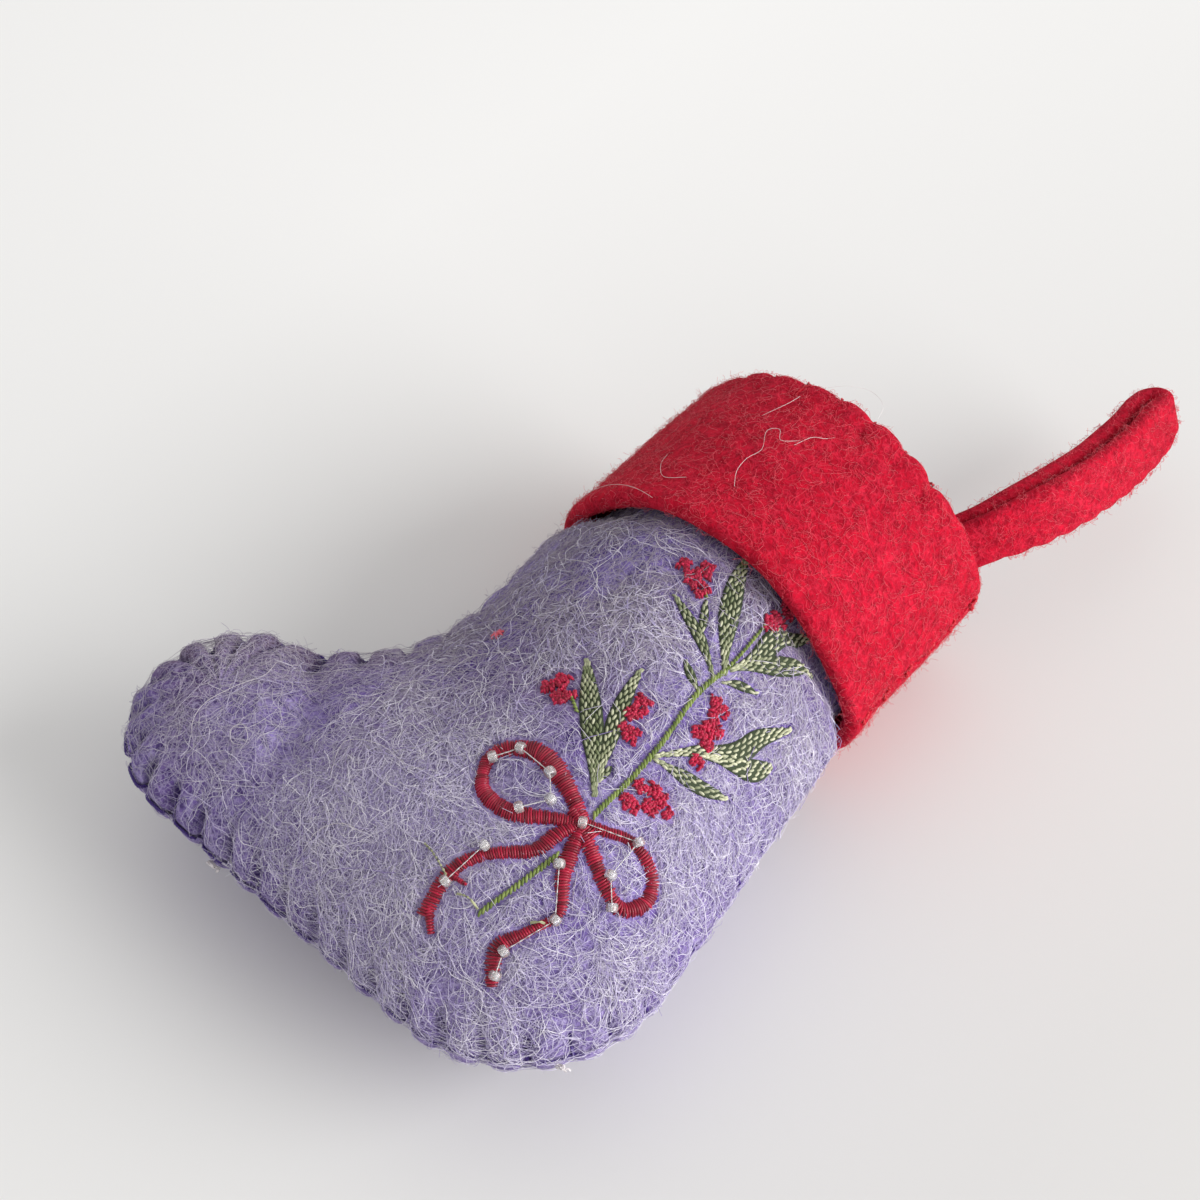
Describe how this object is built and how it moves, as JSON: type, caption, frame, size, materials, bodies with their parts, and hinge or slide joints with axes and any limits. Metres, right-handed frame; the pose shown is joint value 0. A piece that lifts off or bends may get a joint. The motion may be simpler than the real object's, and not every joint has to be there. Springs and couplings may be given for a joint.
{
  "type": "felt stocking ornament",
  "caption": "Stuffed lavender felt stocking with a red felt cuff and hanging loop, blanket-stitched edges, an open mouth and an embroidered sprig with a bow and beads.",
  "frame": {"origin": "under the middle of the ornament's box, on the surface that it lies on", "axes": "+Y up the leg from the sole to the mouth, +X towards the heel, +Z out of the embroidered front"},
  "size_m": [0.0974, 0.1676, 0.0481],
  "materials": {
    "lavender_felt": "fuzzy wool felt",
    "stuffing_fibre": "loose white fibre",
    "purple_thread": "twisted cotton thread",
    "red_felt": "fuzzy wool felt",
    "red_thread": "twisted cotton thread",
    "pink_thread": "twisted cotton thread",
    "red_satin": "glossy satin stitch",
    "stem_thread": "stranded cotton",
    "leaf_thread": "variegated stranded cotton",
    "berry_thread": "stranded cotton knots",
    "bead_glass": "clear glass",
    "clear_thread": "clear nylon thread"
  },
  "bodies": {
    "stocking": {"front_panel": "lavender_felt", "back_panel": "lavender_felt", "stuffing": "stuffing_fibre", "cuff": "red_felt", "loop_tails": "red_felt", "edge_stitching": "purple_thread", "rim_stitching": "red_thread", "cuff_seam_stitching": "red_thread", "loop_tack_stitch": "pink_thread", "bow_loop_left": "red_satin", "bow_loop_right": "red_satin", "bow_tail_left": "red_satin", "bow_tail_right": "red_satin", "bow_knot": "red_satin", "stem_upper": "stem_thread", "stem_lower": "stem_thread", "leaf_1": "leaf_thread", "leaf_2": "leaf_thread", "leaf_3": "leaf_thread", "leaf_4": "leaf_thread", "leaf_5": "leaf_thread", "leaf_6": "leaf_thread", "leaf_7": "leaf_thread", "leaf_8": "leaf_thread", "leaf_9": "leaf_thread", "leaf_10": "leaf_thread", "leaf_11": "leaf_thread", "leaf_12": "leaf_thread", "berries_left": "berry_thread", "berries_stem": "berry_thread", "berries_top_left": "berry_thread", "berries_tip": "berry_thread", "berry_high": "berry_thread", "berry_middle": "berry_thread", "berry_low": "berry_thread", "berries_right": "berry_thread", "bead_1_1": "bead_glass", "bead_1_2": "bead_glass", "bead_1_3": "bead_glass", "bead_1_4": "bead_glass", "bead_1_5": "bead_glass", "bead_2_1": "bead_glass", "bead_2_2": "bead_glass", "bead_2_3": "bead_glass", "bead_2_4": "bead_glass", "bead_3_1": "bead_glass", "bead_3_2": "bead_glass", "bead_3_3": "bead_glass", "bead_3_4": "bead_glass", "bead_4_1": "bead_glass", "bead_4_2": "bead_glass", "bead_thread_1": "clear_thread", "bead_thread_2": "clear_thread", "bead_thread_3": "clear_thread", "bead_thread_4": "clear_thread"},
    "loop": {"hanging_loop": "red_felt"}
  },
  "joints": [
    {"name": "loop_swing", "type": "hinge", "parent": "stocking", "child": "loop", "pos_m": [0.03179, 0.03456, 0.022], "axis": [-0.342, 0, 0.9397], "range_deg": [-45, 80], "stiffness_Nm_per_rad": 0.003}
  ]
}
